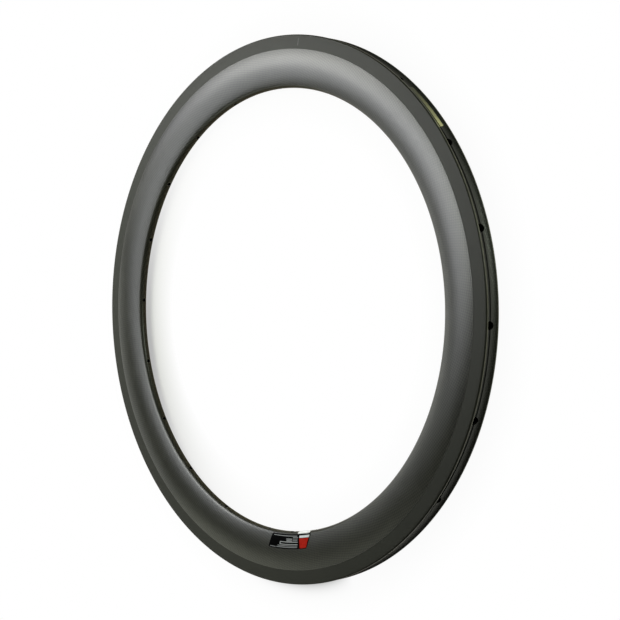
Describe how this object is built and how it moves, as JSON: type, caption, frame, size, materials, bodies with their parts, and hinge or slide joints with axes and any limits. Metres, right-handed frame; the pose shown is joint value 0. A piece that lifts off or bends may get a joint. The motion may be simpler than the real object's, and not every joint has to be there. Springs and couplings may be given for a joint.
{
  "type": "bicycle rim",
  "caption": "Deep hollow fibre-composite bicycle rim with a rounded fairing, smooth brake tracks and a shallow bed for a glued-on tyre, drilled for spokes and a valve.",
  "frame": {"origin": "middle of the rim, on the wheel axis", "axes": "+Z along the wheel axis, out of the side with the decal; the valve hole is on -Y"},
  "size_m": [0.633, 0.633, 0.0228],
  "materials": {
    "carbon": "satin",
    "black_film": "gloss",
    "white_film": "satin",
    "pale_film": "satin"
  },
  "bodies": {
    "root": {"rim": "carbon", "fairing_decal": "black_film", "nose_label": "white_film", "bed_label": "pale_film"}
  },
  "joints": []
}
